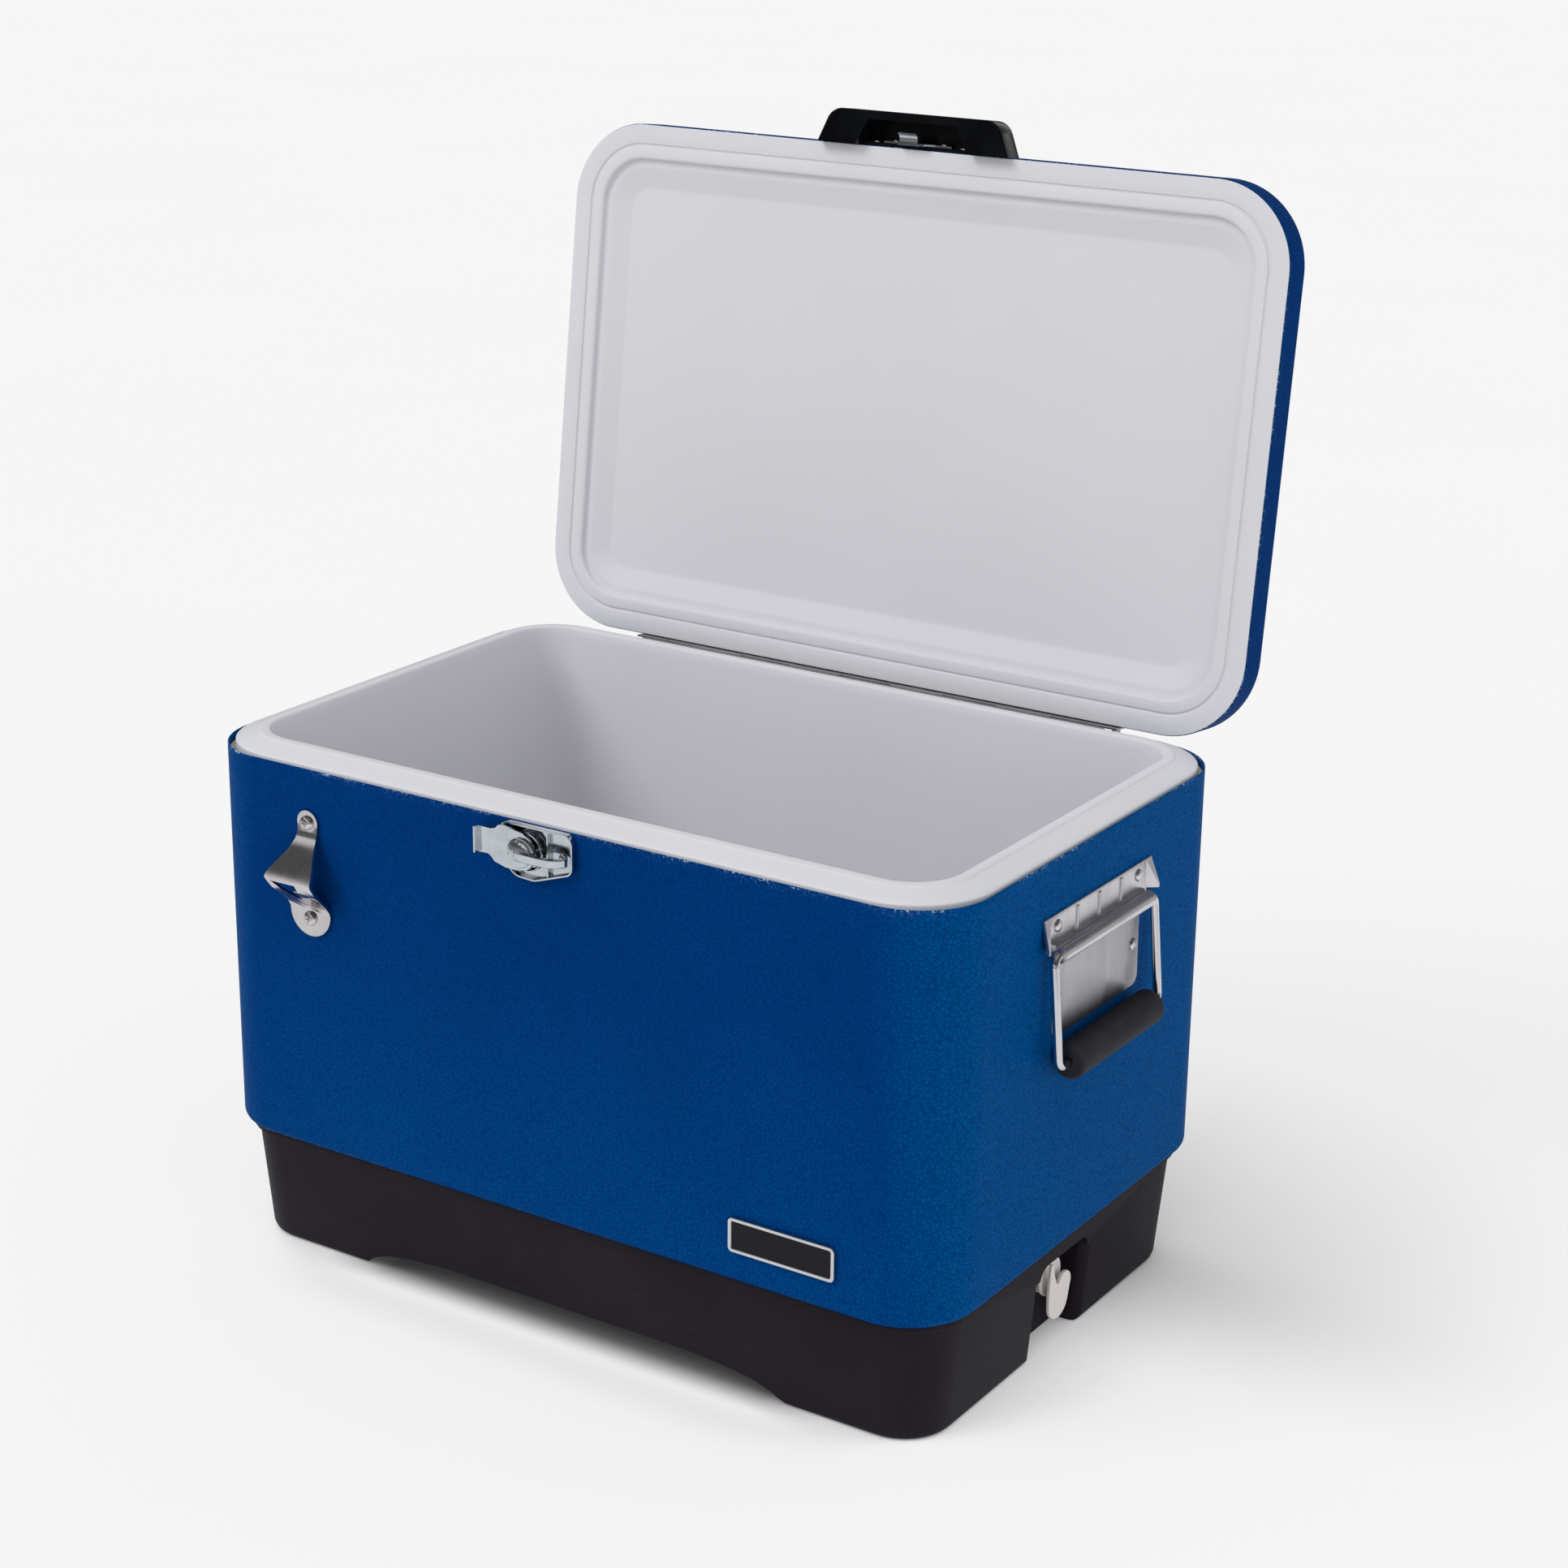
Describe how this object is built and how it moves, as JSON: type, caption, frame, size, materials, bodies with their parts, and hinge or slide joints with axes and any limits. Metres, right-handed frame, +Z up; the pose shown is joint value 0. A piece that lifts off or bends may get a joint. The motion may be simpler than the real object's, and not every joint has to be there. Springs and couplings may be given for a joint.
{
  "type": "cooler chest",
  "caption": "Steel-belted picnic cooler chest with hinged lid, front latch, swinging side handles, bottle opener and a drain plug.",
  "frame": {"origin": "centre of the base's flat underside, on the floor", "axes": "+Z up, front with the latch faces -Y, the drain end is +X"},
  "size_m": [0.651, 0.4996, 0.7791],
  "materials": {
    "black_base": "fine moulded grain",
    "blue_steel": "embossed leather-grain enamel",
    "foam_core": "rigid foam",
    "white_liner": "smooth moulded",
    "drain_plastic": "moulded",
    "seal_rubber": "matte",
    "zinc_steel": "plated, dull",
    "rivet_metal": "satin",
    "screw_steel": "satin",
    "stainless": "brushed",
    "latch_chrome": "bright plated",
    "wire_chrome": "bright plated",
    "handle_plastic": "semi-gloss moulded",
    "badge_black": "gloss with a raised metallic border",
    "grip_foam": "matte foam"
  },
  "bodies": {
    "chest": {"base_pan": "black_base", "body_shell": "blue_steel", "body_foam": "foam_core", "liner_tub": "white_liner", "drain_fitting": "drain_plastic", "drain_gasket": "seal_rubber", "drain_nut": "drain_plastic", "hinge_body_leaf": "zinc_steel", "hinge_pin": "zinc_steel", "hinge_body_rivets": "rivet_metal", "latch_base": "latch_chrome", "latch_rivets": "rivet_metal", "latch_spring": "zinc_steel", "bottle_opener": "stainless", "opener_screws": "screw_steel", "badge_plate": "badge_black", "badge_pad": "seal_rubber", "bracket_right": "stainless", "backplate_right": "stainless", "bracket_rivets_right": "rivet_metal", "bracket_left": "stainless", "backplate_left": "stainless", "bracket_rivets_left": "rivet_metal"},
    "lid": {"lid_shell": "blue_steel", "lid_foam": "foam_core", "lid_liner": "white_liner", "hinge_lid_leaf": "zinc_steel", "hinge_lid_rivets": "rivet_metal", "lid_handle": "handle_plastic", "lid_handle_screws": "screw_steel", "latch_keeper": "latch_chrome", "keeper_screws": "screw_steel"},
    "latch": {"latch_stud": "latch_chrome", "latch_lever": "latch_chrome", "latch_hook": "latch_chrome"},
    "right_handle": {"bail_right": "wire_chrome", "grip_right": "grip_foam"},
    "left_handle": {"bail_left": "wire_chrome", "grip_left": "grip_foam"},
    "plug": {"drain_plug": "drain_plastic", "plug_seal": "seal_rubber"}
  },
  "joints": [
    {"name": "lid_hinge", "type": "hinge", "parent": "chest", "child": "lid", "pos_m": [0, 0.1959, 0.3692], "axis": [1, 0, 0], "range_deg": [0, 97]},
    {"name": "latch_pivot", "type": "hinge", "parent": "chest", "child": "latch", "pos_m": [-0.011, -0.2, 0.3525], "axis": [0, -1, 0], "range_deg": [0, 90]},
    {"name": "right_handle_swing", "type": "hinge", "parent": "chest", "child": "right_handle", "pos_m": [0.307, 0, 0.309], "axis": [0, -1, 0], "range_deg": [0, 90]},
    {"name": "left_handle_swing", "type": "hinge", "parent": "chest", "child": "left_handle", "pos_m": [-0.307, 0, 0.309], "axis": [0, 1, 0], "range_deg": [0, 90]},
    {"name": "plug_pull", "type": "slide", "parent": "chest", "child": "plug", "axis": [1, 0, 0], "range_m": [0, 0.014]}
  ]
}
